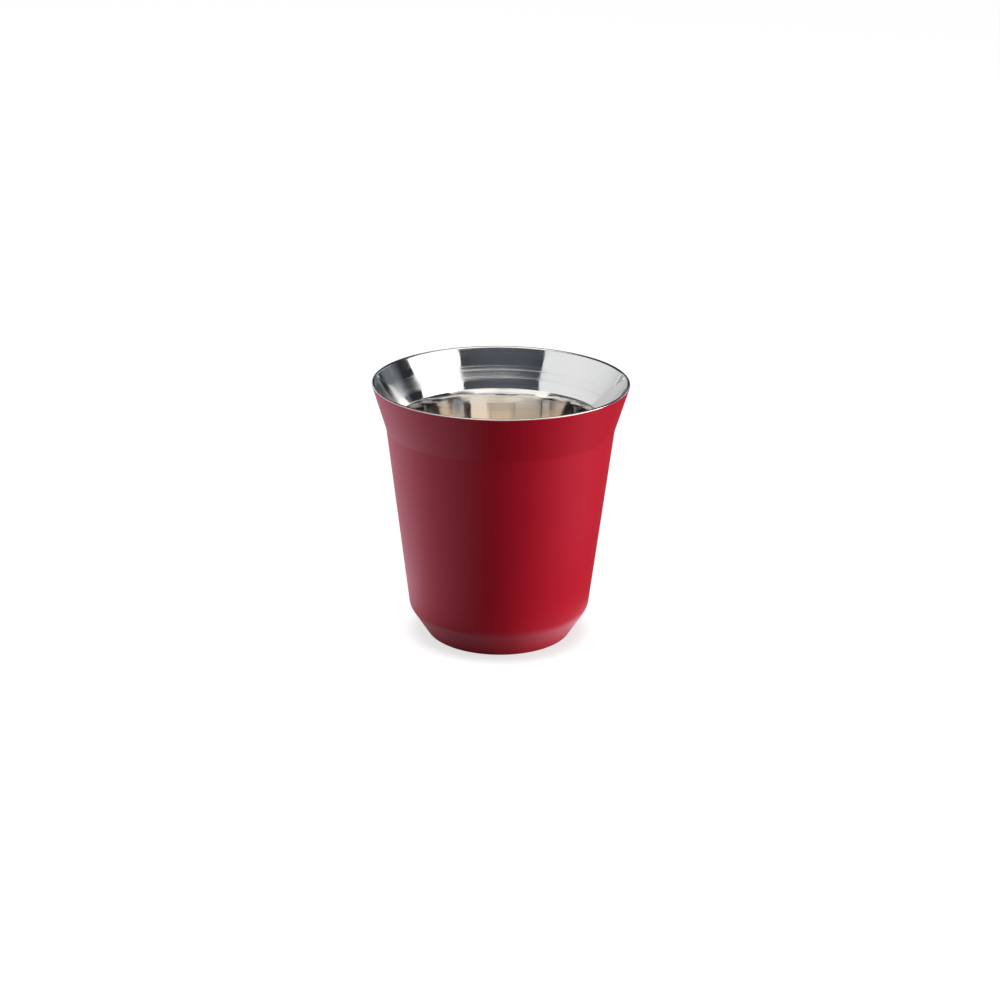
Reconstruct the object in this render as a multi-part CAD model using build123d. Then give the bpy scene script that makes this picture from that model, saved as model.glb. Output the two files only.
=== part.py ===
from build123d import *
import math
import os

# Double-wall steel espresso cup: a lacquered shell, a bare liner and a base plate, joined by two welds.
# The cup stands on the XY plane with its axis on +Z. Lengths are in millimetres, angles in degrees from upright.

# Outside form
rim_diameter = 61.8
cup_height = 64.0
flare_height = 11.3
flare_angle = 17.05
crease_bend = 4.0
shoulder_diameter = 44.1
shoulder_height = 7.3
shoulder_bend = 4.0
foot_diameter = 34.7
foot_bend = 1.6
foot_width = 3.35

# Sheet thicknesses
shell_sheet = 0.4
liner_sheet = 0.4
base_sheet = 0.5

# Inside form
lip_height = 0.3
lip_bend = 0.2
funnel_angle = 30.3
funnel_bend = 0.6
neck_straight = 0.03
neck_turn = 7.1
neck_bend = 16.0
bowl_lean = 0.46
air_gap = 2.32
floor_gap = 4.6
floor_bend = 8.0

# Base plate and its weld
plate_margin = 1.5
panel_margin = 1.6
panel_rise = 0.6
panel_bend = 0.3
weld_recess = 0.1


def slope(angle):
    """Run per unit of rise of a wall that leans from upright."""
    return math.tan(math.radians(angle))


def across(thickness, angle):
    """Level width of a sheet that leans from upright."""
    return thickness / math.cos(math.radians(angle))


def turned(outline):
    """Solid turned about the cup's axis from a closed outline of radius and height."""
    return revolve(Plane.XZ * make_face(outline), Axis.Z)


def turned_sheet(skin, bends, thickness, side):
    """Sheet turned about the cup's axis, with its thickness on one side of a skin with rounded bends."""
    path = FilletPolyline(*skin, radius=bends)
    return turned(offset(path, thickness, side=side))


def trimmed(blank):
    """Drawn blank cut level where the lip weld sits."""
    return split(blank, Plane.XY.offset(weld_level), keep=Keep.BOTTOM)


# Heights and radii that follow from the driving dimensions
weld_level = cup_height - lip_height
crease_level = cup_height - flare_height
rim_radius = rim_diameter / 2
crease_radius = rim_radius - (weld_level - crease_level) * slope(flare_angle)
shoulder_radius = shoulder_diameter / 2
foot_radius = foot_diameter / 2
opening_radius = foot_radius - foot_width
wall_angle = math.degrees(math.atan2(crease_radius - shoulder_radius, crease_level - shoulder_height))

mouth_radius = rim_radius - across(shell_sheet, flare_angle) - across(liner_sheet, funnel_angle)
wall_depth = across(shell_sheet + air_gap + liner_sheet, wall_angle)
bowl_angle = wall_angle - bowl_lean
neck_angle = bowl_angle + neck_turn
neck_curves = funnel_bend * slope((funnel_angle - neck_angle) / 2) + neck_bend * slope(neck_turn / 2)
neck_length = neck_curves + neck_straight
neck_drop = neck_length * math.cos(math.radians(neck_angle))
neck_reach = neck_length * math.sin(math.radians(neck_angle))
panel_level = shell_sheet + panel_rise
floor_level = panel_level + base_sheet + floor_gap + liner_sheet


def bowl_radius(level):
    """Radius of the bowl's wall, which stands a little steeper than the shell's wall across the air gap."""
    return crease_radius + (level - crease_level) * slope(bowl_angle) - wall_depth


neck_run = mouth_radius - neck_reach - bowl_radius(weld_level - neck_drop)
neck_level = weld_level - neck_run / (slope(funnel_angle) - slope(bowl_angle))
neck_radius = mouth_radius - (weld_level - neck_level) * slope(funnel_angle)


def outer_shell():
    """Lacquered outer wall: flared band, crease, tapered wall, chamfer and in-turned foot ring."""
    skin = [
        (rim_radius + shell_sheet * slope(flare_angle), weld_level + shell_sheet),
        (crease_radius, crease_level),
        (shoulder_radius, shoulder_height),
        (foot_radius, 0),
        (opening_radius, 0),
    ]
    return trimmed(turned_sheet(skin, [crease_bend, shoulder_bend, foot_bend], shell_sheet, Side.RIGHT))


def inner_liner():
    """Bare vessel: drinking funnel, short neck, bowl wall and bowl floor."""
    skin = [
        (mouth_radius + liner_sheet * slope(funnel_angle), weld_level + liner_sheet),
        (neck_radius, neck_level),
        (neck_radius - neck_reach, neck_level - neck_drop),
        (bowl_radius(floor_level), floor_level),
        (0, floor_level),
    ]
    return trimmed(turned_sheet(skin, [funnel_bend, neck_bend, floor_bend], liner_sheet, Side.LEFT))


def base_plate():
    """Pressed disc that lies on the foot ring inside the shell, with a raised centre panel."""
    step_radius = opening_radius - panel_margin
    skin = [
        (foot_radius - plate_margin, shell_sheet),
        (step_radius, shell_sheet),
        (step_radius - panel_rise, panel_level),
        (0, panel_level),
    ]
    return turned_sheet(skin, [panel_bend + base_sheet, panel_bend], base_sheet, Side.RIGHT)


def lip_weld():
    """Polished bead over the trimmed edges of the shell and the liner, with rounded edges."""
    edge = (rim_radius, weld_level)
    mouth = (mouth_radius, weld_level)
    outer_top = (rim_radius, cup_height)
    inner_top = (mouth_radius + lip_height * slope(funnel_angle), cup_height)
    crown = FilletPolyline(edge, outer_top, inner_top, mouth, radius=[lip_bend, lip_bend])
    return turned([crown, Line(mouth, edge)])


def base_weld():
    """Fillet bead in the corner between the foot ring's edge and the underside of the base plate."""
    leg = shell_sheet - weld_recess
    corner = (opening_radius, shell_sheet)
    return turned(Polyline(corner, (opening_radius, weld_recess), (opening_radius - leg, shell_sheet), corner))


os.makedirs("parts", exist_ok=True)
for piece in (outer_shell, inner_liner, base_plate, lip_weld, base_weld):
    export_step(piece(), f"parts/{piece.__name__}.step")
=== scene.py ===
import math

import bmesh
import bpy
from mathutils import Matrix, Vector


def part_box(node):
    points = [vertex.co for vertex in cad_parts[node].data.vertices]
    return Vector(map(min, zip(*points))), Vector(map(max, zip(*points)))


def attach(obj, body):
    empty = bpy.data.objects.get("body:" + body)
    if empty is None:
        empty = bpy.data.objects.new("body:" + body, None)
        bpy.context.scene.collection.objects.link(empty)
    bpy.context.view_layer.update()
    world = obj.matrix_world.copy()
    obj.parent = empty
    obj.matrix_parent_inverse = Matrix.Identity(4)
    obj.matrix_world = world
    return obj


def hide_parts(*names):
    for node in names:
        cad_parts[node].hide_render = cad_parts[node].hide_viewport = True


# A double-wall steel espresso cup: a lacquered shell, a bare liner, a welded lip, a base plate and its weld.
# Section lengths are in millimetres and become metres in the meshes. Angles are in degrees.

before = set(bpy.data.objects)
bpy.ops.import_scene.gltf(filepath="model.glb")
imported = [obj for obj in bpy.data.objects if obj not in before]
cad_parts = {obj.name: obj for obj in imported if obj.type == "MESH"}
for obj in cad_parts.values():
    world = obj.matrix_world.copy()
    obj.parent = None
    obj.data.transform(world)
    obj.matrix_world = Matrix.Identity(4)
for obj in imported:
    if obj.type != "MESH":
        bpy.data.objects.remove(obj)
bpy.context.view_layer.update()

MM = 0.001

# What the frame gives
rim_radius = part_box("outer_shell")[1].x / MM
weld_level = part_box("outer_shell")[1].z / MM
cup_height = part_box("lip_weld")[1].z / MM
plate_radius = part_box("base_plate")[1].x / MM
plate_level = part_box("base_plate")[0].z / MM

# Outside form
flare_height = 11.3
flare_angle = 17.05
crease_bend = 4.0
shoulder_radius = 22.05
shoulder_level = 7.3
shoulder_bend = 4.0
foot_radius = 17.35
foot_bend = 1.6
opening_radius = 14.0
shell_sheet = 0.4

# Inside form
funnel_angle = 30.3
funnel_bend = 0.6
neck_straight = 0.03
neck_turn = 7.1
neck_bend = 16.0
polish_below_neck = 2.0
bowl_lean = 0.46
air_gap = 2.32
floor_level = 6.5
floor_bend = 8.0
liner_sheet = 0.4

# Lip and base
lip_outer_round = 0.27
lip_inner_round = 0.56
plate_sheet = 0.5
panel_outer_radius = 12.4
panel_inner_radius = 11.8
panel_level = 1.0
panel_outer_bend = 0.8
panel_inner_bend = 0.3
weld_recess = 0.1

# Mesh fineness
FACES_ROUND = 288
FACES_A_BEND = 12
LONGEST_RUN = 1.6
SHARP_ANGLE = 35
SAME_PLACE = 1e-7

# Points, in metres, from which the front of a skin is seen
BESIDE_CUP = Vector((1, 0, 0))
INSIDE_BOWL = Vector((0, 0, 0.03))
BELOW_CUP = Vector((0, 0, -1))

# Turn of the steel's stretched highlights, so that they cross lines that run round the cup
LINES_ROUND_CUP = 0.25

# Colours of the light
NEUTRAL = (1.0, 0.99, 0.985)
WARM = (1.0, 0.985, 0.97)
CREAM = (1.0, 0.98, 0.95)
COOL = (0.97, 0.985, 1.0)
BLUE = (0.78, 0.93, 1.12)


def slope(angle):
    """Run per unit of rise of a wall that leans from upright."""
    return math.tan(math.radians(angle))


def across(thickness, angle):
    """Level width of a sheet that leans from upright."""
    return thickness / math.cos(math.radians(angle))


# Heights and radii that follow
crease_level = cup_height - flare_height
crease_radius = rim_radius - (weld_level - crease_level) * slope(flare_angle)
wall_angle = math.degrees(math.atan2(crease_radius - shoulder_radius, crease_level - shoulder_level))
mouth_radius = rim_radius - across(shell_sheet, flare_angle) - across(liner_sheet, funnel_angle)
wall_depth = across(shell_sheet + air_gap + liner_sheet, wall_angle)
bowl_angle = wall_angle - bowl_lean
neck_angle = bowl_angle + neck_turn
neck_curves = funnel_bend * slope((funnel_angle - neck_angle) / 2) + neck_bend * slope(neck_turn / 2)
neck_length = neck_curves + neck_straight
neck_drop = neck_length * math.cos(math.radians(neck_angle))
neck_reach = neck_length * math.sin(math.radians(neck_angle))


def bowl_radius(level):
    """Radius of the bowl's wall, which stands a little steeper than the shell's wall across the air gap."""
    return crease_radius + (level - crease_level) * slope(bowl_angle) - wall_depth


neck_run = mouth_radius - neck_reach - bowl_radius(weld_level - neck_drop)
neck_level = weld_level - neck_run / (slope(funnel_angle) - slope(bowl_angle))
neck_radius = mouth_radius - (weld_level - neck_level) * slope(funnel_angle)
neck_foot_level = neck_level - neck_drop


def run_to(mesh, end, place):
    """Carry a section line straight on to a place, in steps short enough for smooth shading."""
    start = end.co.copy()
    steps = math.ceil((place - start).length / (LONGEST_RUN * MM))
    for step in range(1, steps + 1):
        end = bmesh.ops.extrude_vert_indiv(mesh, verts=[end])["verts"][0]
        end.co = start.lerp(place, step / steps)
    return end


def bend_at(mesh, end, corner, coming, leaving, bend):
    """Carry a section line on to a corner and round the bend there."""
    half_angle = coming.angle(leaving) / 2
    centre = corner + (coming + leaving).normalized() * (bend / math.sin(half_angle))
    start = corner + coming * (bend / math.tan(half_angle))
    finish_point = corner + leaving * (bend / math.tan(half_angle))
    end = run_to(mesh, end, start)
    arc = bmesh.ops.spin(
        mesh,
        geom=[end],
        cent=centre,
        axis=(start - centre).cross(finish_point - centre),
        angle=math.pi - 2 * half_angle,
        steps=FACES_A_BEND,
    )
    return next(part for part in arc["geom_last"] if isinstance(part, bmesh.types.BMVert))


def turned(corners, bends, closed=False):
    """Turn a section line round the cup's axis.

    Corners are (radius, height). Bends gives the bend of each rounded corner by its place in the list.
    """
    mesh = bmesh.new()
    places = [Vector((radius * MM, 0, height * MM)) for radius, height in corners]
    start = end = mesh.verts.new(places[0])
    for index in range(1, len(places)):
        if index in bends:
            coming = (places[index - 1] - places[index]).normalized()
            leaving = (places[index + 1] - places[index]).normalized()
            end = bend_at(mesh, end, places[index], coming, leaving, bends[index] * MM)
        else:
            end = run_to(mesh, end, places[index])
    if closed:
        mesh.edges.new((end, start))
    bmesh.ops.spin(
        mesh,
        geom=mesh.verts[:] + mesh.edges[:],
        cent=(0, 0, 0),
        axis=(0, 0, 1),
        angle=math.tau,
        steps=FACES_ROUND,
        use_merge=True,
    )
    bmesh.ops.remove_doubles(mesh, verts=mesh.verts, dist=SAME_PLACE)
    bmesh.ops.recalc_face_normals(mesh, faces=mesh.faces)
    return mesh


def thicken(mesh, sheet, viewpoint):
    """Give a turned skin its sheet, on the side away from a point that sees the skin's front."""
    mesh.normal_update()
    edge_face = max(mesh.faces, key=lambda face: face.calc_center_median().x)
    if edge_face.normal.dot(viewpoint - edge_face.calc_center_median()) < 0:
        bmesh.ops.reverse_faces(mesh, faces=mesh.faces)
    bmesh.ops.solidify(mesh, geom=mesh.faces[:], thickness=sheet * MM)


def level_off(mesh, height):
    """Trim a sheet's slanting edge level at a height."""
    for point in mesh.verts:
        point.co.z = min(point.co.z, height * MM)


def make_piece(name, mesh, node, slot, *materials):
    """Turn a mesh into a smooth piece that stands for a CAD node."""
    mesh.normal_update()
    for face in mesh.faces:
        face.smooth = True
    for edge in mesh.edges:
        edge.smooth = edge.calc_face_angle(0) < math.radians(SHARP_ANGLE)
    data = bpy.data.meshes.new(name)
    mesh.to_mesh(data)
    mesh.free()
    for material in materials:
        data.materials.append(material)
    piece = bpy.data.objects.new(name, data)
    bpy.context.scene.collection.objects.link(piece)
    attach(piece, "root")
    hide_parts(node)


class Signal:
    """A socket that carries a value over a surface. Sums on it add Math nodes to its node tree."""

    def __init__(self, socket):
        self.socket = socket

    def node(self, kind, settings, inputs, output=0):
        """Add a node, set it up, feed its sockets and give back one of its outputs."""
        made = self.socket.id_data.nodes.new("ShaderNode" + kind)
        for name, setting in settings.items():
            setattr(made, name, setting)
        for key, value in inputs.items():
            if isinstance(value, Signal):
                self.socket.id_data.links.new(value.socket, made.inputs[key])
            else:
                made.inputs[key].default_value = value
        return Signal(made.outputs[output])

    def math(self, operation, *values):
        return self.node("Math", {"operation": operation}, dict(enumerate(values)))

    def __add__(self, other):
        return self.math("ADD", self, other)

    __radd__ = __add__

    def __sub__(self, other):
        return self.math("SUBTRACT", self, other)

    def __rsub__(self, other):
        return self.math("SUBTRACT", other, self)

    def __mul__(self, other):
        return self.math("MULTIPLY", self, other)

    __rmul__ = __mul__

    def __truediv__(self, other):
        return self.math("DIVIDE", self, other)

    def __rtruediv__(self, other):
        return self.math("DIVIDE", other, self)

    def __pow__(self, power):
        return self.math("POWER", self, power)

    def larger(self, other):
        return self.math("MAXIMUM", self, other)

    def axes(self):
        """The three parts of a position."""
        return [self.node("SeparateXYZ", {}, {0: self}, part) for part in range(3)]

    def point(self, x, y, z):
        return self.node("CombineXYZ", {}, {0: x, 1: y, 2: z})

    def span(self, low, high):
        """From 0 at low to 1 at high, with soft ends."""
        limits = {"From Min": low, "From Max": high}
        return self.node("MapRange", {"interpolation_type": "SMOOTHSTEP"}, {"Value": self, **limits})

    def grain(self, scale, detail=2.0, roughness=0.5):
        """Soft noise about this position, from 0 to 1."""
        texture = {"Scale": scale, "Detail": detail, "Roughness": roughness}
        return self.node("TexNoise", {}, {"Vector": self, **texture})

    def blend(self, low, high):
        """From one colour at 0 to another at 1."""
        return self.node("Mix", {"data_type": "RGBA"}, {0: self, 6: low, 7: high}, 2)

    def relief(self):
        """Normals of a surface that stands this many millimetres proud."""
        return self.node("Bump", {}, {"Strength": 1.0, "Distance": MM, "Height": self})

    def feed(self, shader, socket):
        self.socket.id_data.links.new(self.socket, shader.inputs[socket])


def finish(name, **constants):
    """A new material with its shader and the position on the piece, in metres."""
    material = bpy.data.materials.new(name)
    material.use_nodes = True
    shader = material.node_tree.nodes["Principled BSDF"]
    for socket, value in constants.items():
        shader.inputs[socket.replace("_", " ")].default_value = value
    place = Signal(material.node_tree.nodes.new("ShaderNodeTexCoord").outputs["Object"])
    return material, shader, place


def steel(name, stretch):
    """A new bare steel whose highlights are stretched by lines round the cup."""
    return finish(name, Metallic=1.0, Anisotropic=stretch, Anisotropic_Rotation=LINES_ROUND_CUP)


def turned_lines(place, fineness, wander):
    """Noise that runs round the cup in fine lines, as a turning tool leaves."""
    x, y, z = place.axes()
    along = (x * x + y * y) ** 0.5 + z
    return place.point(x * wander, y * wander, along * fineness).grain(1.0, 3.0, 0.6)


def red_lacquer():
    """Satin soft-touch lacquer: even deep red, faint orange peel, a fine tooth."""
    material, shader, place = finish("red_lacquer", IOR=1.33)
    cloud = place.grain(90.0, 3.0)
    peel = place.grain(900.0, 2.0)
    tooth = place.grain(5200.0, 2.0, 0.6)
    cloud.blend((0.435, 0.0042, 0.0190, 1), (0.465, 0.0050, 0.0210, 1)).feed(shader, "Base Color")
    (0.35 + 0.06 * cloud + 0.04 * tooth).feed(shader, "Roughness")
    (0.004 * peel + 0.0014 * tooth).relief().feed(shader, "Normal")
    return material


def funnel_steel():
    """Polished steel of the drinking edge, with fine turned lines and a duller band at mid height.

    Scratches and slow waves show in the half away from the camera.
    """
    material, shader, place = steel("funnel_steel", 0.8)
    x, y, z = place.axes()
    broad, fine = turned_lines(place, 900.0, 9.0), turned_lines(place, 2300.0, 14.0)
    lines, scratches = fine.span(0.35, 0.65), fine.span(0.54, 0.74)
    band = z.span(0.0560, 0.0572) * (1 - z.span(0.0583, 0.0608)) * (1 - 0.6 * x.span(0.0, 0.009))
    specks = place.grain(2100.0, 1.0).span(0.72, 0.78)
    waves = place.grain(140.0, 1.0) * y.span(0.002, 0.014)
    fine.blend((0.675, 0.665, 0.655, 1), (0.745, 0.735, 0.725, 1)).feed(shader, "Base Color")
    dull = 0.03 + 0.02 * broad + 0.04 * lines + 0.13 * scratches * y.span(0.004, 0.014)
    (dull + band * (0.11 + 0.06 * broad + 0.05 * lines) + 0.08 * specks).feed(shader, "Roughness")
    (0.11 * waves + 0.004 * broad + 0.002 * fine).relief().feed(shader, "Normal")
    return material


def bowl_steel():
    """Bright turned steel of the bowl, a little warmer than the drinking edge."""
    material, shader, place = steel("bowl_steel", 0.7)
    broad, fine = turned_lines(place, 700.0, 8.0), turned_lines(place, 1900.0, 12.0)
    fine.blend((0.71, 0.655, 0.59, 1), (0.77, 0.715, 0.65, 1)).feed(shader, "Base Color")
    (0.03 + 0.03 * broad + 0.03 * fine).feed(shader, "Roughness")
    (0.003 * broad + 0.0015 * fine).relief().feed(shader, "Normal")
    return material


def lip_steel():
    """Ground and polished weld along the lip, with the lacquer's edge on its outside."""
    material, shader, place = steel("lip_steel", 0.4)
    shader.inputs["IOR"].default_value = 1.33
    lines = turned_lines(place, 5200.0, 16.0)
    x, y, z = place.axes()
    lacquered = ((x * x + y * y) ** 0.5).span(0.03065, 0.03080) * (1 - z.span(0.06375, 0.06385))
    bare = lines.blend((0.60, 0.575, 0.56, 1), (0.68, 0.655, 0.64, 1))
    lacquered.blend(bare, (0.45, 0.0046, 0.02, 1)).feed(shader, "Base Color")
    (1 - lacquered).feed(shader, "Metallic")
    (0.17 + 0.06 * lines + 0.2 * lacquered).feed(shader, "Roughness")
    (0.0005 * lines).relief().feed(shader, "Normal")
    return material


def base_steel():
    """Circular brushed base plate."""
    material, shader, place = steel("base_steel", 0.7)
    lines = turned_lines(place, 3400.0, 26.0)
    cloud = place.grain(160.0, 2.0)
    lines.blend((0.54, 0.52, 0.49, 1), (0.66, 0.64, 0.61, 1)).feed(shader, "Base Color")
    (0.26 + 0.10 * lines + 0.05 * cloud).feed(shader, "Roughness")
    (0.003 * lines).relief().feed(shader, "Normal")
    return material


def weld_steel():
    """Narrow bead with the fine ripples of a continuous weld."""
    material, shader, place = finish("weld_steel", Metallic=1.0)
    ripple = place.grain(3600.0, 2.0)
    heat = place.grain(420.0, 2.0)
    heat.blend((0.46, 0.44, 0.42, 1), (0.60, 0.57, 0.52, 1)).feed(shader, "Base Color")
    (0.28 + 0.14 * ripple).feed(shader, "Roughness")
    (0.02 * ripple).relief().feed(shader, "Normal")
    return material


def shell_piece():
    """Outer wall with its flared band, crease, taper, chamfer and in-turned foot ring."""
    skin = [
        (rim_radius, weld_level),
        (crease_radius, crease_level),
        (shoulder_radius, shoulder_level),
        (foot_radius, 0.0),
        (opening_radius, 0.0),
    ]
    mesh = turned(skin, {1: crease_bend, 2: shoulder_bend, 3: foot_bend})
    thicken(mesh, shell_sheet, BESIDE_CUP)
    level_off(mesh, weld_level)
    make_piece("lacquered_shell", mesh, "outer_shell", "red_lacquer", red_lacquer())


def liner_piece():
    """Funnel, neck, bowl wall and bowl floor. The funnel's polish ends a little below the neck."""
    skin = [
        (mouth_radius, weld_level),
        (neck_radius, neck_level),
        (neck_radius - neck_reach, neck_foot_level),
        (bowl_radius(floor_level), floor_level),
        (0.0, floor_level),
    ]
    mesh = turned(skin, {1: funnel_bend, 2: neck_bend, 3: floor_bend})
    thicken(mesh, liner_sheet, INSIDE_BOWL)
    polish_end = (neck_foot_level - polish_below_neck) * MM
    for face in mesh.faces:
        face.material_index = int(face.calc_center_median().z < polish_end)
    make_piece("steel_liner", mesh, "inner_liner", "liner_steel", funnel_steel(), bowl_steel())


def lip_piece():
    """Bead over the top edges of the shell and the liner."""
    lip_top_radius = mouth_radius + (cup_height - weld_level) * slope(funnel_angle)
    section = [
        (rim_radius, weld_level),
        (rim_radius, cup_height),
        (lip_top_radius, cup_height),
        (mouth_radius, weld_level),
    ]
    mesh = turned(section, {1: lip_outer_round, 2: lip_inner_round}, closed=True)
    make_piece("welded_lip", mesh, "lip_weld", "lip_steel", lip_steel())


def plate_piece():
    """Pressed disc that closes the shell from below, with a raised centre panel."""
    skin = [
        (plate_radius, plate_level),
        (panel_outer_radius, plate_level),
        (panel_inner_radius, panel_level),
        (0.0, panel_level),
    ]
    mesh = turned(skin, {1: panel_outer_bend, 2: panel_inner_bend})
    thicken(mesh, plate_sheet, BELOW_CUP)
    make_piece("base_disc", mesh, "base_plate", "base_steel", base_steel())


def weld_piece():
    """Fillet bead in the corner between the foot ring and the base plate."""
    section = [
        (opening_radius, plate_level),
        (opening_radius, weld_recess),
        (opening_radius - plate_level + weld_recess, plate_level),
    ]
    mesh = turned(section, {}, closed=True)
    make_piece("base_bead", mesh, "base_weld", "weld_steel", weld_steel())


def toward(azimuth, elevation):
    """Direction from the cup: azimuth 0 is the camera's side, positive to its right."""
    turn, rise = math.radians(azimuth), math.radians(elevation)
    return Vector((math.sin(turn) * math.cos(rise), -math.cos(turn) * math.cos(rise), math.sin(rise)))


def make_camera():
    """The camera where the photograph was taken from. The distance and the aim are in millimetres."""
    lens, distance, elevation, roll = 79.768, 540.0, 19.71, 0.55
    aim = Vector((0.0415, 0.0, 33.7234))
    back = toward(0, elevation)
    right = Vector((1, 0, 0))
    up = back.cross(right)
    data = bpy.data.cameras.new("camera")
    data.lens = lens
    data.sensor_width = 36.0
    camera = bpy.data.objects.new("camera", data)
    turn = math.radians(roll)
    level = right * math.cos(turn) + up * math.sin(turn)
    upright = up * math.cos(turn) - right * math.sin(turn)
    place = Matrix((level, upright, back)).transposed().to_4x4()
    place.translation = (aim + back * distance) * MM
    camera.matrix_world = place
    bpy.context.scene.collection.objects.link(camera)
    bpy.context.scene.camera = camera


def make_lamp(name, place, facing, width, height, radiance, colour):
    """A soft rectangular lamp at a place in metres, facing a direction."""
    data = bpy.data.lights.new(name, "AREA")
    data.shape = "RECTANGLE"
    data.size = width
    data.size_y = height
    data.color = colour
    data.energy = radiance * math.pi * width * height
    lamp = bpy.data.objects.new(name, data)
    lamp.rotation_mode = "QUATERNION"
    lamp.rotation_quaternion = (-facing).to_track_quat("Z", "Y")
    lamp.location = place
    lamp.visible_camera = False
    bpy.context.scene.collection.objects.link(lamp)
    return lamp


def standing_lamp(name, azimuth, distance, start, end, low, high, radiance, colour):
    """An upright lamp across an azimuth, between two sideways places and two heights in metres.

    Sideways counts up with the azimuth.
    """
    direction = toward(azimuth, 0)
    sideways = direction.cross(Vector((0, 0, -1)))
    place = direction * distance + sideways * ((start + end) / 2) + Vector((0, 0, (low + high) / 2))
    return make_lamp(name, place, -direction, end - start, high - low, radiance, colour)


def hanging_lamp(name, level, radiance):
    """A lamp above the cup, a little to the right, that faces straight down."""
    sideways, backward, width, depth = 0.125, 0.035, 1.35, 1.03
    place = Vector((sideways, backward, level))
    return make_lamp(name, place, Vector((0, 0, -1)), width, depth, radiance, CREAM)


def light_left_side():
    """A long panel at the left. Its edge shows in reflections alone, and a fill shows in none."""
    panel = standing_lamp("left_panel", -66, 0.75, -3.2, 0.0, 0.02, 0.92, 0.97, COOL)
    edge = standing_lamp("left_edge", -66, 0.75, 0.0, 0.229, 0.02, 0.92, 0.97, COOL)
    fill = standing_lamp("left_fill", -112, 0.9, -0.45, 0.45, 0.02, 0.92, 1.4, COOL)
    panel.data.spread = edge.data.spread = math.radians(168)
    edge.visible_diffuse = False
    fill.visible_glossy = False


def make_lamps():
    """Two lamps at the right, a panel and a fill at the left, a low panel behind and a softbox above."""
    standing_lamp("right_softbox", 74, 0.9, -0.439, 0.49, 0.02, 1.0, 2.0, NEUTRAL)
    standing_lamp("right_low_lamp", 76, 0.85, -0.33, 0.37, 0.02, 0.27, 11.8, WARM)
    light_left_side()
    standing_lamp("back_left_panel", -155, 1.2, -0.27, 0.27, 0.02, 0.42, 0.5, COOL)
    hanging_lamp("overhead_softbox", 1.1, 1.2)


def make_cards():
    """Cards that only reflections see. The overhead one hangs just below the softbox, so that both show."""
    cards = (
        hanging_lamp("overhead_card", 1.08, 0.8),
        standing_lamp("front_card", 0, 0.9, -1.02, 0.716, 0.346, 0.47, 1.4, (1.0, 0.955, 0.86)),
        standing_lamp("front_high_card", 0, 0.9, -1.02, 0.716, 0.47, 0.63, 0.95, (1.0, 0.97, 0.92)),
        standing_lamp("left_low_card", -75, 0.9, -0.275, 0.275, 0.24, 0.34, 0.5, COOL),
        standing_lamp("back_right_card", 149, 1.2, -0.46, 0.46, 0.43, 0.58, 1.0, BLUE),
        standing_lamp("back_left_card", -158, 1.2, -0.277, 0.277, 0.33, 0.53, 0.9, BLUE),
        standing_lamp("edge_card", 43.5, 0.9, -0.071, 0.071, 0.29, 0.52, 1.8, WARM),
    )
    for card in cards:
        card.visible_diffuse = False


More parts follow.
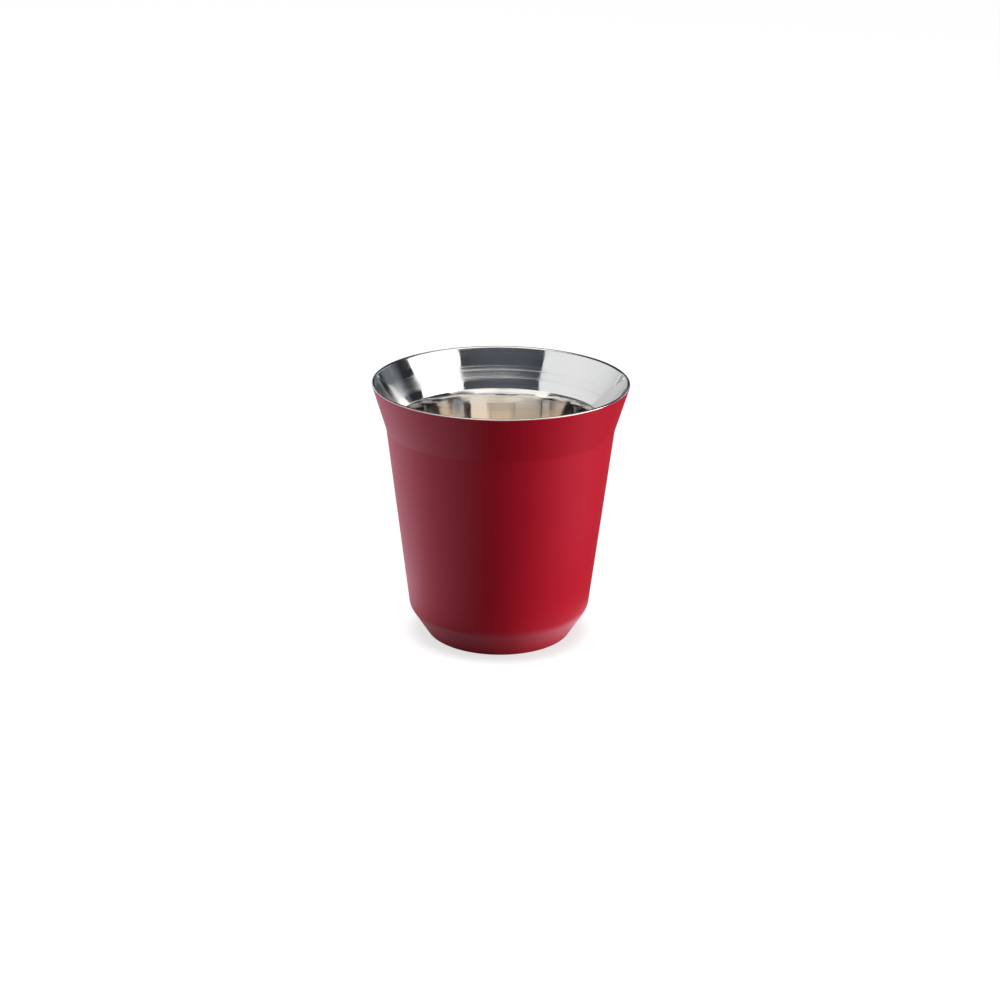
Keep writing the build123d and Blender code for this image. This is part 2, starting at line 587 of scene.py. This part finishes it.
def floor_finish():
    """Floor that the camera sees as white, with the cup's contact shadow: real shade on its base colour plus
    a painted shadow, where its white glow dims in a ring about the foot.

    Reflections see a painted glow in it as well, bright at the left and far away, paler at the right and
    close to the foot.
    """
    material, shader, place = finish("pale_floor", Roughness=1.0, Specular_IOR_Level=0.0)
    x, y, _ = place.axes()
    reach = (x * x + y * y) ** 0.5
    sideways, backward = x / reach, y / reach
    # Away from the foot. By the foot the base colour is paler, so the real shade there shows more, and the
    # painted reflection glow fades out.
    open_floor = reach.span(0.018, 0.045)
    # Painted contact shadow: 0 at the foot, 1 clear of it. It dims the camera's white glow in a ring about
    # the foot.
    clear_of_painted_shadow = reach.span(0.0185, 0.0255)
    open_floor.blend((0.26, 0.26, 0.26, 1), (0.12, 0.12, 0.12, 1)).feed(shader, "Base Color")
    # Painted reflections from here on: glow that only reflections see. It is brightest at the left, where it
    # paints a sheen on the lacquer, weaker at the right, and also far away.
    left = 1.75 * (0 - sideways).span(0.10, 0.80) * (1 - 0.45 * backward.span(0.1, 0.7))
    right = 0.5 * sideways.span(0.55, 0.95) * (0 - backward).span(-0.35, 0.05) * reach.span(0.045, 0.085)
    far = reach.span(0.2, 0.6) * y.span(-0.3, 0.1)
    # Painted reflection of a pale ring by the foot, brighter to the right, for the chamfer.
    painted_glow_at_foot = reach.span(0.0165, 0.022) * (1 - reach.span(0.026, 0.036)) * (0.45 + x.span(0.0, 0.018))
    rays = material.node_tree.nodes.new("ShaderNodeLightPath").outputs
    camera, glossy, clear = (Signal(rays[f"Is {kind} Ray"]) for kind in ("Camera", "Glossy", "Transmission"))
    # White glow for the camera; a bluish tint for the painted reflections.
    camera.blend((0.94, 0.92, 1.12, 1), (1, 1, 1, 1)).feed(shader, "Emission Color")
    # The camera's white glow, dimmed near the foot by the painted contact shadow.
    white = camera * (0.68 + 0.28 * clear_of_painted_shadow)
    bright = left.larger(far) * open_floor + right
    # Painted reflection glow, seen by glossy and transmission rays only.
    painted_reflection_glow = glossy.larger(clear) * bright.larger(painted_glow_at_foot)
    (white + painted_reflection_glow).feed(shader, "Emission Strength")
    return material


def make_floor():
    """A plain round floor, a hair below the foot so that the two don't share a plane."""
    radius, segments, drop = 8.0, 96, 0.00005
    mesh = bmesh.new()
    below_foot = Matrix.Translation((0, 0, -drop))
    bmesh.ops.create_circle(mesh, cap_ends=True, segments=segments, radius=radius, matrix=below_foot)
    data = bpy.data.meshes.new("floor")
    mesh.to_mesh(data)
    mesh.free()
    data.materials.append(floor_finish())
    floor = bpy.data.objects.new("floor", data)
    bpy.context.scene.collection.objects.link(floor)


def make_world():
    """A dark room, a little paler on the camera's side and at the back right, above a white horizon."""
    dark, camera_side, pale_corner = (0.03, 0.033, 0.04, 1), (0.105, 0.12, 0.142, 1), (0.19, 0.205, 0.225, 1)
    horizon = (1.0, 1.0, 1.0, 1)
    world = bpy.data.worlds.new("studio")
    world.use_nodes = True
    tree = world.node_tree
    background = tree.nodes["Background"]
    direction = Signal(tree.nodes.new("ShaderNodeTexCoord").outputs["Generated"])
    x, y, z = direction.axes()
    front = (0 - y).span(0.3, 0.8)
    corner = toward(131, 10)
    back_right = (corner.x * x + corner.y * y + corner.z * z).span(0.955, 0.995)
    room = back_right.blend(front.blend(dark, camera_side), pale_corner)
    z.span(0.02, 0.06).blend(horizon, room).feed(background, "Color")
    diffuse = Signal(tree.nodes.new("ShaderNodeLightPath").outputs["Is Diffuse Ray"])
    (1 - 0.9 * diffuse).feed(background, "Strength")
    bpy.context.scene.world = world


shell_piece()
liner_piece()
lip_piece()
plate_piece()
weld_piece()

make_camera()
make_floor()
make_world()
make_lamps()
make_cards()

bpy.context.scene.view_settings.view_transform = "Standard"
